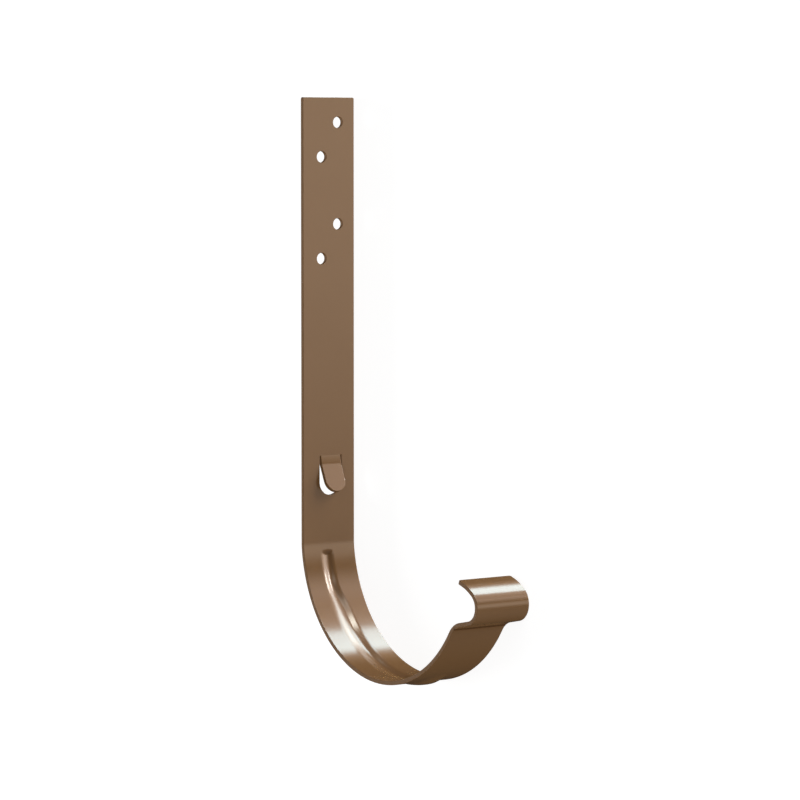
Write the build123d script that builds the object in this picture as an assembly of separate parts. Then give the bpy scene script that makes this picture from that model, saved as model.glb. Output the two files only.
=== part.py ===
"""Long bracket for a half-round rain gutter, pressed and bent from one strip of sheet steel.

The bracket lies on its side: +X points away from the wall, +Y runs up the strap that is screwed to
the rafter, and +Z runs across the strip, from the edge it lies on to its upper edge. The origin is
on the gutter's axis, at the lower edge. All sizes are in millimetres.
"""
from build123d import *

import os
from math import atan2, cos, degrees, radians, sin, sqrt

# Strip
SHEET = 2.0
STRIP_WIDTH = 30.0

# Gutter seat, and the strap above it that stands a little inside the seat's tangent
GUTTER_RADIUS = 63.5
STRAP_HEIGHT = 210.5
STRAP_INSET = 0.25
STRAP_BEND_RADIUS = 20.0
SEAT_END_ANGLE = -33.5

# Front hook; radii and lengths are on the middle of the sheet
NECK_RADIUS = 10.9
LEDGE_ANGLE = 11.4
LEDGE_LENGTH = 6.6
CURL_RADIUS = 7.6
CURL_END_ANGLE = 142.0
LIP_RADIUS = 25.0
LIP_ANGLE = 161.0
LIP_LENGTH = 3.4

# Screw holes, in two rows
HOLE_DIAMETER = 5.5
TOP_HOLE_DOWN = 12.0
HOLE_SPACING = 49.0
HOLE_STAGGER = 16.6
LOWER_ROW = 9.5
UPPER_ROW = 19.1

# Tongue that is cut out of the strap and pressed outwards
TONGUE_ROOT = 37.5
TONGUE_MIDDLE = 14.0
TONGUE_WIDTH = 11.5
TONGUE_TIP_WIDTH = 11.3
TONGUE_LENGTH = 18.7
TONGUE_BEND_RADIUS = 18.4
TONGUE_LEAN_ANGLE = 25.5
TONGUE_CLEARANCE = 0.9

# Stiffening rib pressed into the gutter seat, hollow towards the gutter
RIB_DEPTH = 1.6
RIB_WIDTH = 8.2
RIB_MIDDLE = 14.2
RIB_START_ANGLE = 187.0
RIB_END_ANGLE = 297.0

# Each cutter runs past the faces that it cuts
OVERCUT = 1.0

HALF_TURN = 180.0
QUARTER_TURN = 90.0
OUT = Vector(1, 0, 0)
UP = Vector(0, 1, 0)
ACROSS = Vector(0, 0, 1)

MID_RADIUS = GUTTER_RADIUS + SHEET / 2
STRAP_MIDDLE = STRAP_INSET - MID_RADIUS
STRAP_BACK = STRAP_MIDDLE - SHEET / 2


def strip_line():
    """The bracket's side view, as the line along the middle of its sheet."""
    bend_centre_out = STRAP_MIDDLE + STRAP_BEND_RADIUS
    bend_centre_down = sqrt((MID_RADIUS - STRAP_BEND_RADIUS) ** 2 - bend_centre_out ** 2)
    bend_turn = degrees(atan2(bend_centre_down, -bend_centre_out))
    strap = Line((STRAP_MIDDLE, STRAP_HEIGHT), (STRAP_MIDDLE, -bend_centre_down))
    bend = JernArc(strap @ 1, strap % 1, STRAP_BEND_RADIUS, bend_turn)
    seat = JernArc(bend @ 1, bend % 1, MID_RADIUS, HALF_TURN + SEAT_END_ANGLE - bend_turn)
    neck = JernArc(seat @ 1, seat % 1, NECK_RADIUS, LEDGE_ANGLE - SEAT_END_ANGLE - QUARTER_TURN)
    ledge = PolarLine(neck @ 1, LEDGE_LENGTH, LEDGE_ANGLE)
    curl = JernArc(ledge @ 1, ledge % 1, CURL_RADIUS, CURL_END_ANGLE - LEDGE_ANGLE)
    roll_in = JernArc(curl @ 1, curl % 1, LIP_RADIUS, LIP_ANGLE - CURL_END_ANGLE)
    lip = PolarLine(roll_in @ 1, LIP_LENGTH, LIP_ANGLE)
    return [strap, bend, seat, neck, ledge, curl, roll_in, lip]


def bent_strip(lines, width):
    """Sheet of the given width that follows the lines, starting at Z = 0."""
    return extrude(trace(lines, line_width=SHEET), width)


def hole_places():
    """Height on the strap and place across the strip of every screw hole."""
    top = STRAP_HEIGHT - TOP_HOLE_DOWN
    for index in range(2):
        yield top - index * HOLE_SPACING, LOWER_ROW
        yield top - HOLE_STAGGER - index * HOLE_SPACING, UPPER_ROW


def strap_cutter(outline, height, across):
    """Body that cuts an outline, drawn with its y up the strap, through the strap's sheet."""
    face = Plane(Vector(STRAP_BACK - OVERCUT, height, across), x_dir=-ACROSS, z_dir=OUT)
    return extrude(face * outline, SHEET + 2 * OVERCUT)


def screw_holes():
    """Round cutters for the screw holes."""
    return [strap_cutter(Circle(HOLE_DIAMETER / 2), height, across) for height, across in hole_places()]


def round_ended(root_width, tip_width, length):
    """Tongue outline that hangs from the origin down -y and ends in a half circle."""
    tip = tip_width / 2
    sides = Polyline((-tip, tip - length), (-root_width / 2, 0), (root_width / 2, 0), (tip, tip - length))
    end = RadiusArc(sides @ 1, sides @ 0, tip)
    return make_face([sides, end])


def tongue_gap():
    """Cutter for the opening round the tongue, wider than it by the clearance."""
    grow = 2 * TONGUE_CLEARANCE
    outline = round_ended(TONGUE_WIDTH + grow, TONGUE_WIDTH + grow, TONGUE_LENGTH + TONGUE_CLEARANCE)
    return strap_cutter(outline, TONGUE_ROOT, TONGUE_MIDDLE)


def tongue():
    """The pressed-out tongue: a bend at its root, then a flat blade with a round end."""
    root = Vector(STRAP_MIDDLE, TONGUE_ROOT)
    bend = JernArc(root, -UP, TONGUE_BEND_RADIUS, TONGUE_LEAN_ANGLE)
    low_side = TONGUE_MIDDLE - TONGUE_WIDTH / 2
    root_bend = Pos(0, 0, low_side) * bent_strip([bend], TONGUE_WIDTH)
    bend_length = TONGUE_BEND_RADIUS * radians(TONGUE_LEAN_ANGLE)
    outline = round_ended(TONGUE_WIDTH, TONGUE_TIP_WIDTH, TONGUE_LENGTH - bend_length)
    blade_normal = Vector(cos(radians(TONGUE_LEAN_ANGLE)), sin(radians(TONGUE_LEAN_ANGLE)), 0)
    blade_plane = Plane(bend @ 1 + ACROSS * TONGUE_MIDDLE, x_dir=-ACROSS, z_dir=blade_normal)
    blade = extrude(blade_plane * outline, SHEET / 2, both=True)
    return root_bend + blade


def hollow_radius():
    """Radius of the rib's hollow, from its width and depth."""
    return (RIB_WIDTH ** 2 / 4 + RIB_DEPTH ** 2) / (2 * RIB_DEPTH)


def rib_body(radius, reach):
    """Rounded body along the seat that reaches this far out from the gutter's axis."""
    centre = reach - radius
    run_out = degrees(RIB_WIDTH / 2 / GUTTER_RADIUS)
    first = RIB_START_ANGLE + run_out
    last = RIB_END_ANGLE - run_out
    section = Plane.XZ * Pos(centre, RIB_MIDDLE) * Circle(radius)
    half_ball = Pos(centre, 0, RIB_MIDDLE) * Sphere(radius, arc_size3=HALF_TURN, align=None)
    mirrored_ball = mirror(half_ball, Plane.XZ)
    body = Rot(0, 0, last) * (revolve(section, Axis.Z, first - last) + half_ball)
    return body + Rot(0, 0, first) * mirrored_ball


def bracket():
    """The whole bracket as one solid."""
    body = bent_strip(strip_line(), STRIP_WIDTH)
    body -= tongue_gap()
    body += tongue()
    for hole in screw_holes():
        body -= hole
    inside = extrude(Circle(MID_RADIUS), STRIP_WIDTH)
    body += rib_body(hollow_radius() + SHEET, GUTTER_RADIUS + SHEET + RIB_DEPTH) - inside
    body -= rib_body(hollow_radius(), GUTTER_RADIUS + RIB_DEPTH)
    return body


os.makedirs("parts", exist_ok=True)
export_step(bracket().solid(), "parts/bracket.step")
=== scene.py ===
import logging
import math
from dataclasses import dataclass, field
from enum import Enum

import bpy
import numpy as np
from mathutils import Matrix, Quaternion, Vector
from mathutils.geometry import delaunay_2d_cdt

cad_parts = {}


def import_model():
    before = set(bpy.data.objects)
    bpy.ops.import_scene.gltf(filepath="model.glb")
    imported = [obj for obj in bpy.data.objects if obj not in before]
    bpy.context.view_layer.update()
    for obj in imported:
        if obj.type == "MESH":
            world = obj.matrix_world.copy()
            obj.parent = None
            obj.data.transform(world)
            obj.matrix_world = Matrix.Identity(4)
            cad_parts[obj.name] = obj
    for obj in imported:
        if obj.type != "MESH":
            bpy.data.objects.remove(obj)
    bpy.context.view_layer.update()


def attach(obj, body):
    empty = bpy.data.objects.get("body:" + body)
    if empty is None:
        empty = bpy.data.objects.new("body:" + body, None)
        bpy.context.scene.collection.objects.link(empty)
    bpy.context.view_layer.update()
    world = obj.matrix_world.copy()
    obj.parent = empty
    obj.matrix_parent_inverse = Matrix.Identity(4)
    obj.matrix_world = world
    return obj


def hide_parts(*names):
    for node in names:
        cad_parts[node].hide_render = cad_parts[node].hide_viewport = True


# A long bracket for a half-round rain gutter, pressed from one strip of sheet steel and painted
# brown. It lies on its side: +X is away from the wall, +Y is up the strap, +Z is across the strip.
# Sizes of the bracket are in millimetres and become metres where its mesh is made. A place on the
# flat strip, before bending, is given by "along", the distance from the strap's top end, and
# "across", the height above the edge that the bracket lies on.

LOG = logging.getLogger("gutter_bracket")
METRES = 0.001
UP = np.array([0.0, 0.0, 1.0])
Colour = tuple[float, float, float]


def as_rgba(colour: Colour) -> tuple[float, float, float, float]:
    """The colour with full alpha."""
    return (*colour, 1.0)


def spread(first: float, last: float, size: float) -> np.ndarray:
    """Even steps from first to last, both included, each at most this size.

    Args:
        first: Where the steps begin.
        last: Where they end.
        size: The longest step.

    Returns:
        The places of the steps.
    """
    return np.linspace(first, last, max(2, int(math.ceil(abs(last - first) / size)) + 1))


def arc_points(
    centre: tuple[float, float], radius: float, first: float, last: float, count: int
) -> np.ndarray:
    """Points on an arc: the centre plus the radius times the cosine and sine of even angles.

    Args:
        centre: The arc's centre, along and across.
        radius: Its radius.
        first: Angle of its first point in degrees.
        last: Angle of its last point in degrees.
        count: How many points it has.

    Returns:
        An array of points, one per row.
    """
    angle = np.radians(np.linspace(first, last, count))
    return np.column_stack([centre[0] + radius * np.cos(angle), centre[1] + radius * np.sin(angle)])


def outward(edge: np.ndarray) -> np.ndarray:
    """Unit direction out of the material at each point of a closed edge.

    It is the line between the two neighbours, turned a quarter to the right.

    Args:
        edge: The edge's points in order, with the material on the left.

    Returns:
        One direction per point.
    """
    travel = np.roll(edge, -1, axis=0) - np.roll(edge, 1, axis=0)
    right = np.column_stack([travel[:, 1], -travel[:, 0]])
    return right / np.linalg.norm(right, axis=1, keepdims=True)


def quads_of(corners: list[np.ndarray]) -> np.ndarray:
    """Quads from four grids that hold the number of each one's first to last corner."""
    return np.stack(corners, axis=-1).reshape(-1, 4)


class Signal:
    """A shader socket that Python's operators work on; each one adds its Math node."""

    def __init__(self, wiring: "Wiring", socket: bpy.types.NodeSocket) -> None:
        """Keep the socket and the wiring that it belongs to."""
        self.wiring = wiring
        self.socket = socket

    def maths(self, operation: str, *values: "Signal | float") -> "Signal":
        """A Math node with this operation on the values in order."""
        inputs = dict(enumerate(values))
        return self.wiring.node("ShaderNodeMath", {"operation": operation}, inputs)[0]

    def __add__(self, other: "Signal | float") -> "Signal":
        """The sum."""
        return self.maths("ADD", self, other)

    def __sub__(self, other: "Signal | float") -> "Signal":
        """The difference."""
        return self.maths("SUBTRACT", self, other)

    def __rsub__(self, other: float) -> "Signal":
        """The difference from a number."""
        return self.maths("SUBTRACT", other, self)

    def __mul__(self, other: "Signal | float") -> "Signal":
        """The product."""
        return self.maths("MULTIPLY", self, other)

    def __abs__(self) -> "Signal":
        """The size without its sign."""
        return self.maths("ABSOLUTE", self)

    __radd__ = __add__
    __rmul__ = __mul__

    def fading(self, full: float, gone: float) -> "Signal":
        """1 up to full, 0 from gone on, and an even S curve between them."""
        settings = {"interpolation_type": "SMOOTHSTEP"}
        inputs = {"Value": self, "From Min": full, "From Max": gone, "To Min": 1.0, "To Max": 0.0}
        return self.wiring.node("ShaderNodeMapRange", settings, inputs)["Result"]


class Outputs:
    """A node's outputs, each handed out as a Signal."""

    def __init__(self, wiring: "Wiring", node: bpy.types.Node) -> None:
        """Keep the node and the wiring that it belongs to."""
        self.wiring = wiring
        self.node = node

    def __getitem__(self, key: str | int) -> Signal:
        """The output with this name or number."""
        return Signal(self.wiring, self.node.outputs[key])


class Wiring:
    """The node tree of a material or of the world, cleared and ready for nodes."""

    def __init__(self, owner: bpy.types.Material | bpy.types.World) -> None:
        """Empty the owner's node tree and keep it."""
        owner.use_nodes = True
        self.tree = owner.node_tree
        self.tree.nodes.clear()

    def node(self, kind: str, settings: dict | None = None, inputs: dict | None = None) -> Outputs:
        """Add a node, set its settings and then its sockets.

        Args:
            kind: The node's type.
            settings: Its settings by name, such as a Math node's operation.
            inputs: Values or Signals by the name or number of their socket.

        Returns:
            The node's outputs.
        """
        made = self.tree.nodes.new(kind)
        for name, value in (settings or {}).items():
            setattr(made, name, value)
        for key, value in (inputs or {}).items():
            if isinstance(value, Signal):
                self.tree.links.new(value.socket, made.inputs[key])
            else:
                made.inputs[key].default_value = value
        return Outputs(self, made)

    def vector(self, operation: str, *values: Signal | Colour) -> Outputs:
        """A Vector Math node with this operation on the values in order."""
        return self.node("ShaderNodeVectorMath", {"operation": operation}, dict(enumerate(values)))

    def noise(self, place: Signal, scale: float, detail: float) -> Signal:
        """Even noise over the places, from 0 to 1."""
        inputs = {"Vector": place, "Scale": scale, "Detail": detail}
        return self.node("ShaderNodeTexNoise", {}, inputs)[0]

    def blend(self, share: Signal, plain: Signal | tuple, other: Signal | tuple) -> Signal:
        """The plain colour where the share is 0 and the other where it is 1."""
        return self.node("ShaderNodeMix", {"data_type": "RGBA"}, {0: share, 6: plain, 7: other})[2]


@dataclass(frozen=True)
class GlossPaint:
    """Thick glossy paint on sheet steel, with a faint skin like orange peel, and painted shade
    darkening it along the neck's crease.
    """

    name: str = "brown_paint"
    colour: Colour = (0.204, 0.107, 0.044)
    deeper_colour: Colour = (0.193, 0.100, 0.040)
    crease_shade_colour: Colour = (0.108, 0.047, 0.015)
    crease_shade_core: float = 0.0003
    crease_shade_reach: float = 0.0014
    roughness: float = 0.17
    roughness_spread: float = 0.03
    refraction: float = 1.5
    peel_scale: float = 260.0
    peel_height: float = 0.000012
    cloud_scale: float = 45.0

    def material(self, crease: tuple[float, float]) -> bpy.types.Material:
        """The paint: a clouded base colour and roughness, noise as a fine bump, and painted shade
        at the crease.

        Along the crease the base colour is darkened as painted shade, standing in for the shade
        that falls in the tight fold. The mask is 1 at the crease's line and falls to 0 with the
        distance from it, seen from the side.

        Args:
            crease: X and Y of the crease's line, in metres.

        Returns:
            The finished material.
        """
        made = bpy.data.materials.new(self.name)
        wiring = Wiring(made)
        place = wiring.node("ShaderNodeTexCoord")["Object"]
        cloud = wiring.noise(place, self.cloud_scale, 3.0)
        peel = wiring.noise(place, self.peel_scale, 1.0)
        tint = wiring.blend(cloud, as_rgba(self.colour), as_rgba(self.deeper_colour))
        # Painted shade: the base colour darkens towards the neck's crease line, for the shade in
        # the fold.
        side = wiring.vector("MULTIPLY", place, (1.0, 1.0, 0.0))["Vector"]
        away = wiring.vector("DISTANCE", side, (*crease, 0.0))["Value"]
        shade_share = away.fading(self.crease_shade_core, self.crease_shade_reach)
        colour = wiring.blend(shade_share, tint, as_rgba(self.crease_shade_colour))
        relief = {"Height": peel, "Distance": self.peel_height, "Strength": 1.0}
        bump = wiring.node("ShaderNodeBump", {}, relief)
        surface = wiring.node("ShaderNodeBsdfPrincipled", {}, {
            "Base Color": colour,
            "Roughness": (cloud - 0.5) * self.roughness_spread + self.roughness,
            "IOR": self.refraction,
            "Normal": bump["Normal"],
        })
        wiring.node("ShaderNodeOutputMaterial", {}, {"Surface": surface["BSDF"]})
        return made


class Turn(Enum):
    """Which way a bend turns, seen from the strip's upper edge."""

    LEFT = 1
    RIGHT = -1


@dataclass(frozen=True)
class Run:
    """One stretch of a bent line: its length, and its turn to the left in degrees."""

    length: float
    turn: float = 0.0

    @staticmethod
    def bend(radius: float, angle: float, way: Turn = Turn.LEFT) -> "Run":
        """A round run of this radius on the middle of the sheet."""
        return Run(radius * math.radians(angle), angle * way.value)


@dataclass(frozen=True)
class BentLine:
    """The side view of a bent sheet: the line along the middle of its thickness."""

    start: tuple[float, float]
    heading: float
    runs: tuple[Run, ...]

    @property
    def length(self) -> float:
        """The length of the whole line."""
        return sum(run.length for run in self.runs)

    def at(self, along: np.ndarray) -> tuple[np.ndarray, np.ndarray, np.ndarray]:
        """Where the line is at each distance along it.

        A straight run moves the point by its length times the direction of its heading. On a round
        run of curvature k the heading grows by k for each millimetre, and the point moves by the
        change of the heading's sine and cosine divided by k. The first and last run go on past
        their ends.

        Args:
            along: Distances from the line's start.

        Returns:
            The points, the headings in radians and the curvatures.
        """
        x = np.full(along.shape, float(self.start[0]))
        y = np.full(along.shape, float(self.start[1]))
        heading = np.full(along.shape, math.radians(self.heading))
        curvature = np.zeros(along.shape)
        begun = 0.0
        for index, run in enumerate(self.runs):
            lowest = -np.inf if index == 0 else 0.0
            highest = np.inf if index == len(self.runs) - 1 else run.length
            part = np.clip(along - begun, lowest, highest)
            bent = math.radians(run.turn) / run.length
            after = heading + bent * part
            if bent:
                x += (np.sin(after) - np.sin(heading)) / bent
                y -= (np.cos(after) - np.cos(heading)) / bent
            else:
                x += part * np.cos(heading)
                y += part * np.sin(heading)
            curvature = np.where(along >= begun, bent, curvature)
            heading = after
            begun += run.length
        return np.column_stack([x, y]), heading, curvature


@dataclass(frozen=True)
class SideView:
    """Strap, gutter seat and front hook, with radii on the middle of the sheet."""

    sheet: float = 2.0
    gutter_radius: float = 63.5
    strap_height: float = 210.5
    strap_inset: float = 0.25
    strap_bend_radius: float = 20.0
    seat_end_angle: float = -33.5
    neck_radius: float = 10.9
    ledge_angle: float = 11.4
    ledge_length: float = 6.6
    curl_radius: float = 7.6
    curl_end_angle: float = 142.0
    lip_radius: float = 25.0
    lip_angle: float = 161.0
    lip_length: float = 3.4

    @property
    def seat_radius(self) -> float:
        """The seat's radius on the middle of the sheet."""
        return self.gutter_radius + self.sheet / 2

    @property
    def strap_place(self) -> float:
        """Where the middle of the strap's sheet stands on X."""
        return self.strap_inset - self.seat_radius

    def strap_bend(self) -> tuple[float, float]:
        """How far below the axis the strap starts to bend, and its turn in degrees."""
        out = self.strap_place + self.strap_bend_radius
        down = math.sqrt((self.seat_radius - self.strap_bend_radius) ** 2 - out ** 2)
        return down, math.degrees(math.atan2(down, -out))

    def line(self) -> BentLine:
        """The whole side view, from the strap's top end to the end of the lip.

        Returns:
            The line along the middle of the sheet.
        """
        down, turn = self.strap_bend()
        runs = (
            Run(self.strap_height + down),
            Run.bend(self.strap_bend_radius, turn),
            Run.bend(self.seat_radius, 180.0 + self.seat_end_angle - turn),
            Run.bend(self.neck_radius, 90.0 + self.seat_end_angle - self.ledge_angle, Turn.RIGHT),
            Run(self.ledge_length),
            Run.bend(self.curl_radius, self.curl_end_angle - self.ledge_angle),
            Run.bend(self.lip_radius, self.lip_angle - self.curl_end_angle),
            Run(self.lip_length),
        )
        return BentLine((self.strap_place, self.strap_height), -90.0, runs)

    def crease(self) -> tuple[float, float]:
        """X and Y of the middle of the neck's hollow face, in metres."""
        line = self.line()
        along = sum(run.length for run in line.runs[:3]) + line.runs[3].length / 2
        places, headings, _ = line.at(np.array([along]))
        x = places[0, 0] + math.sin(headings[0]) * self.sheet / 2
        y = places[0, 1] - math.cos(headings[0]) * self.sheet / 2
        return x * METRES, y * METRES

    def along_seat(self, angle: float) -> float:
        """Distance along the strip to this angle round the gutter's axis."""
        down, turn = self.strap_bend()
        before = self.strap_height + down + self.strap_bend_radius * math.radians(turn)
        return before + self.seat_radius * math.radians(angle - 180.0 - turn)


@dataclass(frozen=True)
class Rib:
    """Stiffening rib pressed into the gutter seat, hollow towards the gutter."""

    first: float
    last: float
    middle: float = 13.25
    skew: float = 2.1
    skew_first: float = 15.5
    skew_length: float = 18.0
    depth: float = 1.4
    low_half: float = 4.3
    high_half: float = 7.7
    high_narrowing: float = 0.28
    low_narrowing: float = 0.28
    blunt_length: float = 3.0
    fading_length: float = 14.0

    def reach(self) -> tuple[float, float]:
        """The rib's lowest and highest place across the strip."""
        return self.middle - self.low_half, self.middle + self.skew + self.high_half

    def sink(self, along: np.ndarray, across: np.ndarray) -> np.ndarray:
        """How far the sheet is pressed out at each place.

        It is the depth times the square of the cosine of a quarter turn times the distance from
        the rib's middle over that side's half width, times the same for the distance past either
        end over that end's length. Along the skewed stretch an S curve falls from 1 to 0: it moves
        the middle by the skew and narrows the rib by its share.

        Args:
            along: Distances along the strip.
            across: Distances across the strip.

        Returns:
            The depths.
        """
        skew_end = self.first + self.skew_first + self.skew_length
        share = np.clip((skew_end - along) / self.skew_length, 0.0, 1.0)
        early = share * share * (3 - 2 * share)
        offset = across - self.middle - self.skew * early
        high = self.high_half * (1 - self.high_narrowing * early)
        low = self.low_half * (1 - self.low_narrowing * early)
        half = np.where(offset > 0, high, low)
        before = (self.first + self.blunt_length - along) / self.blunt_length
        after = (along - self.last + self.fading_length) / self.fading_length
        depth = np.full(along.shape, self.depth)
        for reach in (np.abs(offset) / half, before, after):
            depth = depth * np.cos(np.clip(reach, 0.0, 1.0) * math.pi / 2) ** 2
        return depth


@dataclass(frozen=True)
class Tongue:
    """The tongue that is cut free of the strap on three sides and pressed outwards."""

    root: float
    start: tuple[float, float]
    middle: float = 14.0
    width: float = 11.5
    tip_width: float = 11.3
    length: float = 18.7
    root_bends: tuple[tuple[float, float], ...] = ((4.0, 9.0), (55.0, 3.5), (5.0, 11.1))
    clearance: float = 0.65
    cap_points: int = 9

    @property
    def gap_half(self) -> float:
        """Half the width of the gap's outer edge."""
        return self.width / 2 + self.clearance

    @property
    def gap_end(self) -> float:
        """Where along the strip the gap's outer edge begins its end circle."""
        return self.root + self.length - self.width / 2

    @property
    def tip_end(self) -> float:
        """Where along the strip the tongue begins its own end circle."""
        return self.root + self.length - self.tip_width / 2

    def line(self) -> BentLine:
        """The tongue's side view: bends of a radius and an angle each, then the flat blade."""
        bends = tuple(Run.bend(radius, angle) for radius, angle in self.root_bends)
        blade = Run(self.length - sum(bend.length for bend in bends))
        return BentLine(self.start, -90.0, (*bends, blade))

    def covers(self, along: np.ndarray, across: np.ndarray) -> np.ndarray:
        """Whether each place is on the tongue, that is, inside the middle line of its gap."""
        radius = (self.width + self.clearance) / 2
        side = np.hypot(np.clip(along - self.gap_end, 0.0, None), across - self.middle)
        return (along > self.root) & (side < radius)

    def gap(self, step: float) -> np.ndarray:
        """The edge of the U-shaped gap, with the strip's material on its left.

        Its parts run down the strap's side, round the gap's end in a half circle, up the far side,
        over a small half circle, and back along the tongue, whose own end is a half circle. The
        whole edge is then turned round.

        Args:
            step: The longest step between two points.

        Returns:
            The points of the closed edge.
        """
        outer, outer_end = self.gap_half, self.gap_end
        tip, tip_end = self.tip_width / 2, self.tip_end
        cap = self.clearance / 2
        begin = self.root + cap
        tip_steps = int(math.pi * outer / step)

        def side(first: tuple[float, float], last: tuple[float, float]) -> np.ndarray:
            """Even points from first to just before last."""
            share = np.linspace(0.0, 1.0, int(abs(last[0] - first[0]) / step) + 2)[:-1, None]
            return (1 - share) * np.array(first) + share * np.array(last)

        parts = [
            side((begin, -outer), (outer_end, -outer)),
            arc_points((outer_end, 0.0), outer, -90.0, 90.0, tip_steps),
            side((outer_end, outer), (begin, outer))[1:],
            arc_points((begin, outer - cap), cap, 90.0, 270.0, self.cap_points),
            side((begin, self.width / 2), (tip_end, tip))[1:],
            arc_points((tip_end, 0.0), tip, 90.0, -90.0, tip_steps),
            side((tip_end, -tip), (begin, -self.width / 2))[1:],
            arc_points((begin, cap - outer), cap, 90.0, 270.0, self.cap_points)[:-1],
        ]
        return np.vstack(parts)[::-1] + np.array([0.0, self.middle])

    def rows(self, step: float) -> np.ndarray:
        """Points over the tongue's bend and blade, in rows across it."""
        along = spread(self.root, self.tip_end, step)
        across = self.middle + np.linspace(-0.42, 0.42, 9) * self.width
        return np.column_stack([axis.ravel() for axis in np.meshgrid(along, across)])


@dataclass(frozen=True)
class ScrewHoles:
    """Plain holes for screws in two rows, staggered along the strap."""

    diameter: float = 5.5
    from_top: float = 12.0
    spacing: float = 49.0
    stagger: float = 16.6
    rows: tuple[float, float] = (9.5, 19.1)
    sides: int = 72

    def places(self) -> list[tuple[float, float]]:
        """Along and across of each hole's centre."""
        return [
            (self.from_top + pair * self.spacing + row * self.stagger, across)
            for pair in range(2)
            for row, across in enumerate(self.rows)
        ]

    def ring(self, place: tuple[float, float], growth: float) -> np.ndarray:
        """A circle round the hole, this much wider in radius, with the material on its left."""
        return arc_points(place, self.diameter / 2 + growth, 360.0, 0.0, self.sides + 1)[:-1]


@dataclass(frozen=True)
class StripMesh:
    """The flat strip as faces and closed edges, before it is bent."""

    points: np.ndarray
    triangles: np.ndarray
    quads: np.ndarray
    edges: list[np.ndarray]


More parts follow.
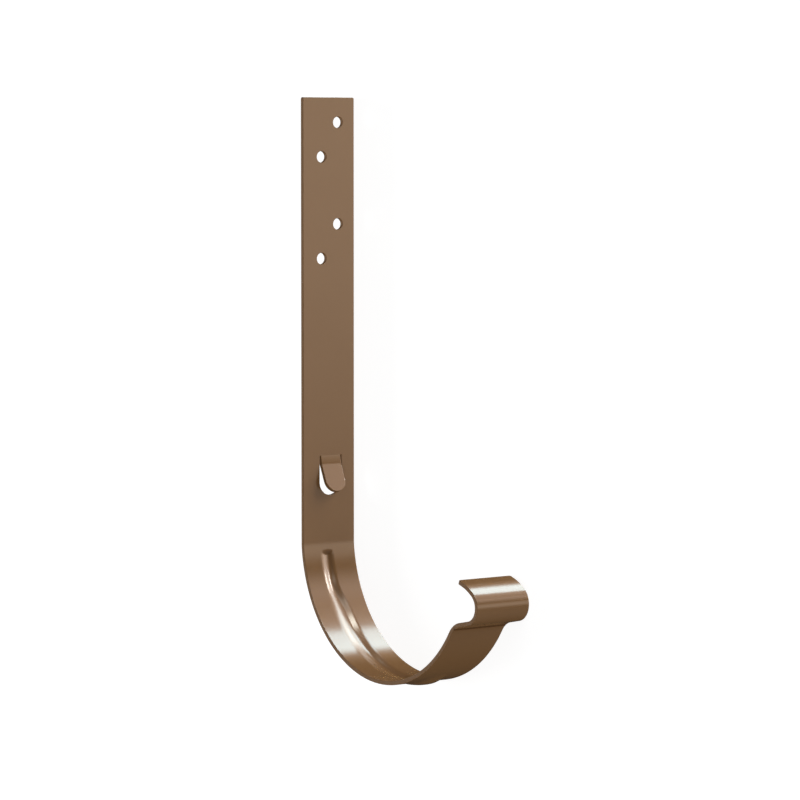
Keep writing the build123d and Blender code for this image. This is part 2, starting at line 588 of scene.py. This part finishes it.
@dataclass
class Bracket:
    """The whole bracket: one strip of sheet, cut, pressed and bent."""

    view: SideView = field(default_factory=SideView)
    holes: ScrewHoles = field(default_factory=ScrewHoles)
    paint: GlossPaint = field(default_factory=GlossPaint)
    width: float = 30.0
    edge_radius: float = 0.22
    corner_radius: float = 0.8
    edge_steps: int = 4
    tongue_root_height: float = 37.5
    rib_start_angle: float = 187.2
    rib_end_angle: float = 297.0
    seam: float = 197.0
    plain_step: float = 0.9
    strap_step: float = 3.0
    rib_step: float = 0.3
    rib_end_step: float = 0.25
    seat_step: float = 0.55
    gap_step: float = 0.55
    tongue_step: float = 0.7
    support_rings: tuple[float, float] = (0.8, 2.0)
    corner_points: int = 7
    drawing_back: float = 3.0

    def __post_init__(self) -> None:
        """Work out the bent line, the tongue and the rib."""
        self.line = self.view.line()
        root = self.view.strap_height - self.tongue_root_height
        self.tongue = Tongue(root, (self.view.strap_place, self.tongue_root_height))
        ends = (self.rib_start_angle, self.rib_end_angle)
        self.rib = Rib(*(self.view.along_seat(angle) for angle in ends))

    def columns(self) -> np.ndarray:
        """Places across the strip, closer together over the rib."""
        edge, (low, high) = self.edge_radius, self.rib.reach()
        parts = [
            spread(edge, low, self.plain_step)[:-1],
            spread(low, high, self.rib_step),
            spread(high, self.width - edge, self.plain_step)[1:],
        ]
        return np.concatenate(parts)

    def stations(self) -> np.ndarray:
        """Places along the strip from the seam to the lip, closer together at bends."""
        hook = sum(run.length for run in self.line.runs[:3])
        end = self.line.length - self.edge_radius
        before, after = self.rib.first - 2.0, self.rib.first + 6.0
        parts = [
            spread(self.seam, before, self.plain_step)[:-1],
            spread(before, after, self.rib_end_step)[:-1],
            spread(after, hook, self.seat_step)[:-1],
            spread(hook, end, self.rib_step),
        ]
        return np.concatenate(parts)

    def corner_cut(self, across: np.ndarray) -> np.ndarray:
        """How much a rounded corner takes off the strip's end at each place across it."""
        radius = self.corner_radius - self.edge_radius
        side = np.minimum(across, self.width - across) - self.edge_radius
        inside = np.clip(radius - side, 0.0, radius)
        return radius - np.sqrt(radius ** 2 - inside ** 2)

    def bent_grid(self) -> tuple[np.ndarray, np.ndarray, int, int]:
        """Grid over the seat and the hook: every station by every column.

        The last three millimetres draw back by the corner's cut, more the nearer they are to the
        lip's end, so that the grid's last row follows the rounded corners.

        Returns:
            The points, the quads, and the counts of stations and columns.
        """
        across = self.columns()
        corner = self.edge_radius + np.linspace(0.0, self.corner_radius, self.corner_points)[1:]
        across = np.unique(np.round(np.concatenate([across, corner, self.width - corner]), 5))
        along = self.stations()
        grid_along, grid_across = np.meshgrid(along, across, indexing="ij")
        nearness = np.clip((grid_along - along[-1]) / self.drawing_back + 1.0, 0.0, 1.0)
        grid_along = grid_along - nearness * self.corner_cut(grid_across)
        number = np.arange(grid_along.size).reshape(grid_along.shape)
        corners = [number[:-1, :-1], number[1:, :-1], number[1:, 1:], number[:-1, 1:]]
        points = np.column_stack([grid_along.ravel(), grid_across.ravel()])
        return points, quads_of(corners), len(along), len(across)

    def strap_side(self) -> np.ndarray:
        """The strap's free edge from the seam over the top and back, material on the left."""
        edge, radius = self.edge_radius, self.corner_radius - self.edge_radius
        low, high = edge + radius, self.width - edge - radius
        far_side = spread(self.seam, low, self.strap_step)[1:-1]
        top = spread(high, low, self.strap_step)[1:-1]
        parts = [
            np.column_stack([far_side, np.full(far_side.shape, self.width - edge)]),
            arc_points((low, high), radius, 90.0, 180.0, self.corner_points),
            np.column_stack([np.full(top.shape, edge), top]),
            arc_points((low, low), radius, 180.0, 270.0, self.corner_points),
            np.column_stack([far_side[::-1], np.full(far_side.shape, edge)]),
        ]
        return np.vstack(parts)

    def flat_strip(self) -> StripMesh:
        """The flat strip: a grid over seat and hook, and triangles over the strap.

        Returns:
            Points, faces and closed edges in along and across.
        """
        grid, quads, stations, columns = self.bent_grid()
        side = self.strap_side()
        gap = self.tongue.gap(self.gap_step)
        gap = gap - self.edge_radius * outward(gap)
        holes = self.holes.places()
        rings = [self.holes.ring(place, self.edge_radius) for place in holes]
        growths = [self.edge_radius + more for more in self.support_rings]
        support = [self.holes.ring(place, growth)[::3] for place in holes for growth in growths]
        loose = [self.tongue.rows(self.tongue_step)] + support
        seam = grid[:columns]
        strap_points = np.vstack([seam, side, gap, *rings, *loose])
        counts = np.cumsum([0, columns + len(side), len(gap)] + [len(ring) for ring in rings])
        loops = [np.arange(first, last) for first, last in zip(counts[:-1], counts[1:])]
        segments = np.vstack([np.column_stack([loop, np.roll(loop, -1)]) for loop in loops])
        triangles = self.strap_triangles(strap_points, segments)

        offset = len(grid) - columns
        renumber = np.arange(len(strap_points))
        renumber[columns:] += offset
        number = np.arange(len(grid)).reshape(stations, columns)
        near_side, far_side = number[1:, 0], number[1:, -1][::-1]
        free_side = renumber[loops[0][columns:]]
        ends = [near_side, number[-1, 1:-1], far_side, [columns - 1], free_side, [0]]
        outline = np.concatenate(ends)
        edges = [outline] + [renumber[loop] for loop in loops[1:]]
        points = np.vstack([grid, strap_points[columns:]])
        return StripMesh(points, renumber[triangles], quads, edges)

    def strap_triangles(self, points: np.ndarray, segments: np.ndarray) -> np.ndarray:
        """Triangles between the strap's edges, without those inside a hole or the gap.

        Args:
            points: Points of the strap in along and across.
            segments: Pairs of points that an edge joins.

        Returns:
            Triangles that turn left, seen with along to the right and across upwards.
        """
        vectors = [Vector(point) for point in points.tolist()]
        faces = np.array(delaunay_2d_cdt(vectors, segments.tolist(), [], 1, 1e-6)[2])
        corners = points[faces]
        centre = corners.mean(axis=1)
        kept = np.ones(len(faces), bool)
        hole_reach = self.holes.diameter / 2 + self.edge_radius * 0.99
        for place in self.holes.places():
            kept &= np.hypot(*(centre - place).T) > hole_reach
        kept &= ~self.in_gap(centre)
        first, second = corners[:, 1] - corners[:, 0], corners[:, 2] - corners[:, 0]
        turns_left = first[:, 0] * second[:, 1] - first[:, 1] * second[:, 0] > 0
        return np.where(turns_left[:, None], faces, faces[:, ::-1])[kept]

    def in_gap(self, places: np.ndarray) -> np.ndarray:
        """Whether each place lies in the gap round the tongue, edge rounding included."""
        tongue, edge = self.tongue, self.edge_radius
        along, across = places[:, 0], np.abs(places[:, 1] - tongue.middle)
        below = np.clip(along - tongue.gap_end, 0.0, None)
        inside_outer = np.hypot(below, across) < tongue.gap_half + edge
        share = np.clip((along - tongue.root) / (tongue.tip_end - tongue.root), 0.0, 1.0)
        half = (tongue.width + (tongue.tip_width - tongue.width) * share) / 2 - edge
        past_tip = np.clip(along - tongue.tip_end, 0.0, None)
        inside_tongue = np.hypot(past_tip, across) < half
        cap = tongue.clearance / 2
        before = np.clip(tongue.root + cap - along, 0.0, None)
        inside_cap = np.hypot(before, across - tongue.gap_half + cap) < cap + edge
        return np.where(along > tongue.root + cap, inside_outer & ~inside_tongue, inside_cap)

    def placed(
        self, places: np.ndarray, lift: np.ndarray
    ) -> tuple[np.ndarray, np.ndarray, np.ndarray]:
        """Bends places of the flat strip into their place in space.

        The middle of the sheet stands on the bent line, pushed outwards by the rib's depth. Its
        normal is the line's normal times one plus curvature times depth, plus the direction along
        times the depth's slope along, plus the direction across times its slope across. A point is
        the middle plus the lift times the normal.

        Args:
            places: Along and across of each point.
            lift: Distance from the middle of the sheet, positive towards the gutter.

        Returns:
            The points, the sheet's normals and the directions along the strip.
        """
        along, across = places[:, 0], places[:, 1]
        middle, heading, curvature = self.line.at(along)
        on_tongue = self.tongue.covers(along, across)
        blade = self.tongue.line().at(along - self.tongue.root)
        middle = np.where(on_tongue[:, None], blade[0], middle)
        heading = np.where(on_tongue, blade[1], heading)
        curvature = np.where(on_tongue, blade[2], curvature)

        sink, step = self.rib.sink, 0.01
        depth = sink(along, across)
        slope_along = (sink(along + step, across) - sink(along - step, across)) / (2 * step)
        slope_across = (sink(along, across + step) - sink(along, across - step)) / (2 * step)
        nothing = np.zeros(along.shape)
        onward = np.column_stack([np.cos(heading), np.sin(heading), nothing])
        inward = np.column_stack([-np.sin(heading), np.cos(heading), nothing])
        stretch = (1.0 + curvature * depth)[:, None]
        normal = stretch * inward + slope_along[:, None] * onward
        normal += slope_across[:, None] * stretch * UP
        normal /= np.linalg.norm(normal, axis=1, keepdims=True)
        base = np.column_stack([middle, across]) - depth[:, None] * inward
        return base + lift[:, None] * normal, normal, onward

    def rounded_edge(
        self, flat: StripMesh, edge: np.ndarray, first: int
    ) -> tuple[np.ndarray, np.ndarray, np.ndarray]:
        """The strip's side wall along one closed edge, with both corners rounded.

        The wall's section turns from the gutter side's normal to the back's in even steps of angle.
        At each angle it stands out by the edge's radius times the sine, and lies off the middle of
        the sheet by the radius times the cosine plus or minus what is left of half the sheet.

        Args:
            flat: The flat strip.
            edge: Numbers of the edge's points.
            first: The number that the wall's first new point gets.

        Returns:
            The wall's new points, their normals, and its quads.
        """
        half, radius = self.view.sheet / 2, self.edge_radius
        quarter = np.linspace(0.0, math.pi / 2, self.edge_steps + 1)
        turn = np.concatenate([quarter[1:], math.pi - quarter[::-1][:-1]])
        side = np.where(np.arange(len(turn)) < self.edge_steps, 1.0, -1.0)
        out = outward(flat.points[edge])
        places = flat.points[edge][None] + (radius * np.sin(turn))[:, None, None] * out[None]
        lift = side * (half - radius) + radius * np.cos(turn)
        points, normal, onward = self.placed(places.reshape(-1, 2), np.repeat(lift, len(edge)))
        away = np.tile(out, (len(turn), 1))
        level = away[:, :1] * onward + away[:, 1:] * UP
        turns = np.repeat(turn, len(edge))[:, None]
        normals = np.cos(turns) * normal + np.sin(turns) * level
        rows = first + np.arange(len(turn) * len(edge)).reshape(len(turn), len(edge))
        rows = np.vstack([edge[None], rows, edge[None] + len(flat.points)])
        onto = np.roll(rows, -1, axis=1)
        quads = quads_of([rows[:-1], onto[:-1], onto[1:], rows[1:]])
        return points, normals / np.linalg.norm(normals, axis=1, keepdims=True), quads

    def build(self) -> bpy.types.Object:
        """Makes the bracket's closed mesh, sets its normals and paints it.

        Returns:
            The finished piece.
        """
        flat = self.flat_strip()
        half = self.view.sheet / 2
        count = len(flat.points)
        front, front_normal, _ = self.placed(flat.points, np.full(count, half))
        back, back_normal, _ = self.placed(flat.points, np.full(count, -half))
        points, normals = [front, back], [front_normal, -back_normal]
        faces = [flat.quads[:, ::-1], flat.quads + count]
        first = 2 * count
        for edge in flat.edges:
            wall, wall_normal, wall_quads = self.rounded_edge(flat, edge, first)
            points.append(wall)
            normals.append(wall_normal)
            faces.append(wall_quads)
            first += len(wall)
        mesh = bpy.data.meshes.new("painted_bracket")
        vertices = np.vstack(points) * METRES
        triangles = np.vstack([flat.triangles[:, ::-1], flat.triangles + count])
        mesh.from_pydata(vertices.tolist(), [], np.vstack(faces).tolist() + triangles.tolist())
        mesh.validate()
        mesh.shade_smooth()
        mesh.normals_split_custom_set_from_vertices(np.vstack(normals).tolist())
        mesh.materials.append(self.paint.material(self.view.crease()))
        piece = bpy.data.objects.new("painted_bracket", mesh)
        bpy.context.scene.collection.objects.link(piece)
        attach(piece, "root")
        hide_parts("bracket")
        LOG.info("bracket: %d points, %d faces", len(mesh.vertices), len(mesh.polygons))
        return piece


def aimed(azimuth: float, elevation: float) -> Vector:
    """Unit direction from the bracket, from an azimuth round Z and an elevation in degrees."""
    turn, rise = math.radians(azimuth), math.radians(elevation)
    level = math.cos(rise)
    return Vector((math.cos(turn) * level, math.sin(turn) * level, math.sin(rise)))


@dataclass(frozen=True)
class SoftPanel:
    """A flat lit panel of the studio's tent, with its half sizes and soft borders in degrees."""

    name: str
    azimuth: float
    half_width: float
    border: float
    brightness: float
    tint: Colour = (1.0, 1.0, 1.0)
    elevation: float = -36.0
    half_height: float = 52.0
    end_border: float = 20.0
    roll: float = 0.0

    def light(self, wiring: Wiring, aim: Signal, before: Signal | Colour) -> Signal:
        """Adds the panel to the light so far.

        Its share is the product of two S curves: one over the angle beside the panel's middle and
        one over the angle above or below it, each angle being the arc tangent of the offset over
        the distance to the panel's plane.

        Args:
            wiring: The tent material's nodes.
            aim: Unit direction from the bracket.
            before: The light without this panel.

        Returns:
            The light with it.
        """
        towards = aimed(self.azimuth, self.elevation)
        sideways = aimed(self.azimuth + 90.0, 0.0)
        sideways.rotate(Quaternion(towards, math.radians(self.roll)))
        upwards = towards.cross(sideways)
        depth, beside, above = (
            wiring.vector("DOT_PRODUCT", aim, axis)["Value"]
            for axis in (towards, sideways, upwards)
        )
        halves = (
            (beside, self.half_width, self.border),
            (above, self.half_height, self.end_border),
        )
        share = 1.0
        for offset, half, border in halves:
            angle = abs(offset.maths("ARCTAN2", offset, depth)) * math.degrees(1.0)
            share = angle.fading(half - border / 2, half + border / 2) * share
        colour = tuple(self.brightness * part for part in self.tint)
        return wiring.vector("MULTIPLY_ADD", share, colour, before)["Vector"]


@dataclass(frozen=True)
class Lamp:
    """A square soft lamp that shines at the bracket."""

    name: str
    azimuth: float
    elevation: float
    distance: float
    size: float
    power: float
    tint: Colour = (1.0, 1.0, 1.0)


@dataclass(frozen=True)
class PhotoCamera:
    """The camera at the photograph's place, with no shift and no tilt of its own."""

    place: tuple[float, float, float] = (1.35512, 0.18777, 1.01750)
    right: tuple[float, float, float] = (0.59325, 0.00033, -0.80502)
    up: tuple[float, float, float] = (-0.05727, 0.99748, -0.04179)
    back: tuple[float, float, float] = (0.80298, 0.07089, 0.59177)
    lens: float = 161.68
    sensor: float = 36.0
    clip: tuple[float, float] = (0.05, 50.0)

    def build(self) -> bpy.types.Object:
        """Makes the camera and sets it as the scene's."""
        data = bpy.data.cameras.new("photo_camera")
        data.lens = self.lens
        data.sensor_width = self.sensor
        data.clip_start, data.clip_end = self.clip
        camera = bpy.data.objects.new("photo_camera", data)
        axes = Matrix((self.right, self.up, self.back)).transposed().to_4x4()
        camera.matrix_world = Matrix.Translation(self.place) @ axes
        bpy.context.scene.collection.objects.link(camera)
        bpy.context.scene.camera = camera
        return camera


@dataclass(frozen=True)
class Studio:
    """A pale floor, soft lamps, and a tent of soft panels that the gloss of the paint mirrors."""

    middle: tuple[float, float, float] = (0.0, 0.06, 0.015)
    tent_radius: float = 12.0
    tent_glow: Colour = (0.015, 0.015, 0.015)
    ambient: Colour = (0.15, 0.15, 0.15)
    floor_size: float = 30.0
    floor_colour: Colour = (0.30, 0.30, 0.30)
    floor_glow: float = 0.88
    panels: tuple[SoftPanel, ...] = (
        SoftPanel("key", 92.9, 10.3, 6.5, 10.6, (0.74, 0.96, 1.02), -28.0, 18.0, 14.0, 13.4),
        SoftPanel("key_foot", 105.5, 12.0, 7.0, 5.4, (0.74, 0.97, 1.02), -58.0, 12.0, 14.0, 23.0),
        SoftPanel("key_border", 82.0, 5.0, 10.0, 1.2),
        SoftPanel("key_halo", 94.0, 18.0, 22.0, 0.5),
        SoftPanel("warm_side", 74.0, 33.0, 12.0, 0.95, (1.0, 0.52, 0.25)),
        SoftPanel("hot_spot", 50.0, 5.0, 4.0, 24.0, (1.0, 0.94, 0.86), -65.0, 5.0, 4.0, 22.0),
        SoftPanel("floor_side", 122.0, 16.0, 16.0, 3.6, (1.0, 0.98, 0.92), -68.0, 18.0, 18.0),
        SoftPanel("floor_glow", 50.0, 22.0, 20.0, 0.3, (1.0, 0.90, 0.78), -80.0, 22.0, 20.0),
        SoftPanel("overhead", 68.0, 5.0, 5.0, 17.0, (0.97, 1.0, 0.90), 10.0, 11.0, 7.0),
        SoftPanel("overhead_halo", 55.0, 20.0, 10.0, 4.0, (1.0, 0.90, 0.78), 22.0, 24.0, 20.0),
        SoftPanel("side", 52.0, 20.0, 12.0, 0.92),
        SoftPanel("side_low", 43.0, 6.0, 9.0, 0.55),
        SoftPanel("side_high", 71.0, 7.0, 9.0, 0.3),
        SoftPanel("front", 4.5, 8.5, 12.0, 2.1, (1.0, 0.86, 0.72)),
        SoftPanel("below", -38.0, 32.0, 58.0, 0.22),
        SoftPanel("back", 185.0, 30.0, 30.0, 0.35, elevation=36.0, half_height=25.0),
    )
    lamps: tuple[Lamp, ...] = (
        Lamp("key_lamp", 69.0, -48.0, 1.3, 1.4, 28.0),
        Lamp("high_lamp", 58.0, 48.0, 1.3, 1.0, 3.4),
        Lamp("front_lamp", -10.0, 35.0, 1.0, 0.8, 0.6),
        Lamp("low_lamp", -60.0, 10.0, 1.3, 1.0, 8.4),
        Lamp("back_lamp", 185.0, 25.0, 1.6, 1.0, 18.0),
    )

    def build_lamp(self, lamp: Lamp) -> None:
        """Puts up one soft lamp; the gloss mirrors the tent and not the lamp."""
        data = bpy.data.lights.new(lamp.name, "AREA")
        data.shape = "SQUARE"
        data.size = lamp.size
        data.energy = lamp.power
        data.color = lamp.tint
        made = bpy.data.objects.new(lamp.name, data)
        aim = aimed(lamp.azimuth, lamp.elevation)
        made.location = Vector(self.middle) + aim * lamp.distance
        made.rotation_mode = "QUATERNION"
        made.rotation_quaternion = aim.to_track_quat("Z", "Y")
        made.visible_glossy = False
        bpy.context.scene.collection.objects.link(made)

    def tent_material(self) -> bpy.types.Material:
        """Light of the tent: a faint glow and the panels, where the paint mirrors it directly."""
        made = bpy.data.materials.new("tent_light")
        wiring = Wiring(made)
        place = wiring.node("ShaderNodeTexCoord")["Object"]
        aim = wiring.vector("NORMALIZE", place)["Vector"]
        light = self.tent_glow
        for panel in self.panels:
            light = panel.light(wiring, aim, light)
        glow = wiring.node("ShaderNodeEmission", {}, {"Color": light})
        dark = wiring.node("ShaderNodeEmission", {}, {"Strength": 0.0})
        scattered = wiring.node("ShaderNodeLightPath")["Diffuse Depth"]
        inputs = {0: scattered, 1: glow["Emission"], 2: dark["Emission"]}
        mixed = wiring.node("ShaderNodeMixShader", {}, inputs)
        wiring.node("ShaderNodeOutputMaterial", {}, {"Surface": mixed["Shader"]})
        return made

    def build_tent(self) -> bpy.types.Object:
        """The tent: a sphere round the bracket that only the gloss of the paint sees.

        A point is the radius times the cosine of its height times the cosine and sine of its
        azimuth, and the radius times the sine of its height.

        Returns:
            The tent.
        """
        azimuth = np.linspace(0.0, 2 * math.pi, 97)[:-1]
        height = np.linspace(-math.pi / 2, math.pi / 2, 49)
        turn, rise = np.meshgrid(azimuth, height, indexing="ij")
        level = np.cos(rise)
        points = np.stack([level * np.cos(turn), level * np.sin(turn), np.sin(rise)], axis=-1)
        points = points.reshape(-1, 3) * self.tent_radius
        number = np.arange(turn.size).reshape(turn.shape)
        onto = np.roll(number, -1, axis=0)
        quads = quads_of([number[:, :-1], number[:, 1:], onto[:, 1:], onto[:, :-1]])
        mesh = bpy.data.meshes.new("tent")
        mesh.from_pydata(points.tolist(), [], quads.tolist())
        mesh.materials.append(self.tent_material())
        tent = bpy.data.objects.new("tent", mesh)
        tent.visible_camera = False
        tent.visible_diffuse = False
        tent.visible_shadow = False
        tent.visible_transmission = False
        bpy.context.scene.collection.objects.link(tent)
        return tent

    def build_floor(self) -> bpy.types.Object:
        """The pale floor: it glows for the camera and still takes the bracket's shadow."""
        made = bpy.data.materials.new("pale_floor")
        wiring = Wiring(made)
        matt = wiring.node("ShaderNodeBsdfDiffuse", {}, {"Color": as_rgba(self.floor_colour)})
        glow = wiring.node("ShaderNodeEmission", {}, {"Strength": self.floor_glow})
        both = wiring.node("ShaderNodeAddShader", {}, {0: matt["BSDF"], 1: glow["Emission"]})
        wiring.node("ShaderNodeOutputMaterial", {}, {"Surface": both["Shader"]})
        reach = self.floor_size / 2
        signs = ((-1, -1), (1, -1), (1, 1), (-1, 1))
        corners = [(reach * right, reach * up, 0.0) for right, up in signs]
        mesh = bpy.data.meshes.new("floor")
        mesh.from_pydata(corners, [], [(0, 1, 2, 3)])
        mesh.materials.append(made)
        floor = bpy.data.objects.new("floor", mesh)
        floor.visible_glossy = False
        floor.visible_diffuse = False
        floor.visible_shadow = False
        bpy.context.scene.collection.objects.link(floor)
        return floor

    def build_world(self) -> None:
        """White where it is seen or mirrored, and a plain grey light otherwise."""
        world = bpy.data.worlds.new("studio_air")
        bpy.context.scene.world = world
        wiring = Wiring(world)
        path = wiring.node("ShaderNodeLightPath")
        seen = path["Is Camera Ray"] + path["Is Glossy Ray"] + path["Is Transmission Ray"]
        plain = wiring.node("ShaderNodeBackground", {}, {"Color": as_rgba(self.ambient)})
        white = wiring.node("ShaderNodeBackground", {}, {"Color": as_rgba((1.0, 1.0, 1.0))})
        inputs = {0: seen, 1: plain["Background"], 2: white["Background"]}
        mixed = wiring.node("ShaderNodeMixShader", {}, inputs)
        wiring.node("ShaderNodeOutputWorld", {}, {"Surface": mixed["Shader"]})

    def build(self) -> None:
        """Sets up floor, tent, lamps and world."""
        self.build_floor()
        self.build_tent()
        for lamp in self.lamps:
            self.build_lamp(lamp)
        self.build_world()
        LOG.info("studio: %d lamps, %d panels", len(self.lamps), len(self.panels))


def main() -> None:
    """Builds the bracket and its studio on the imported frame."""
    logging.basicConfig(level=logging.INFO, format="%(name)s: %(message)s")
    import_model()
    bpy.context.scene.view_settings.view_transform = "Standard"
    Bracket().build()
    Studio().build()
    PhotoCamera().build()


if __name__ == "__main__":
    main()
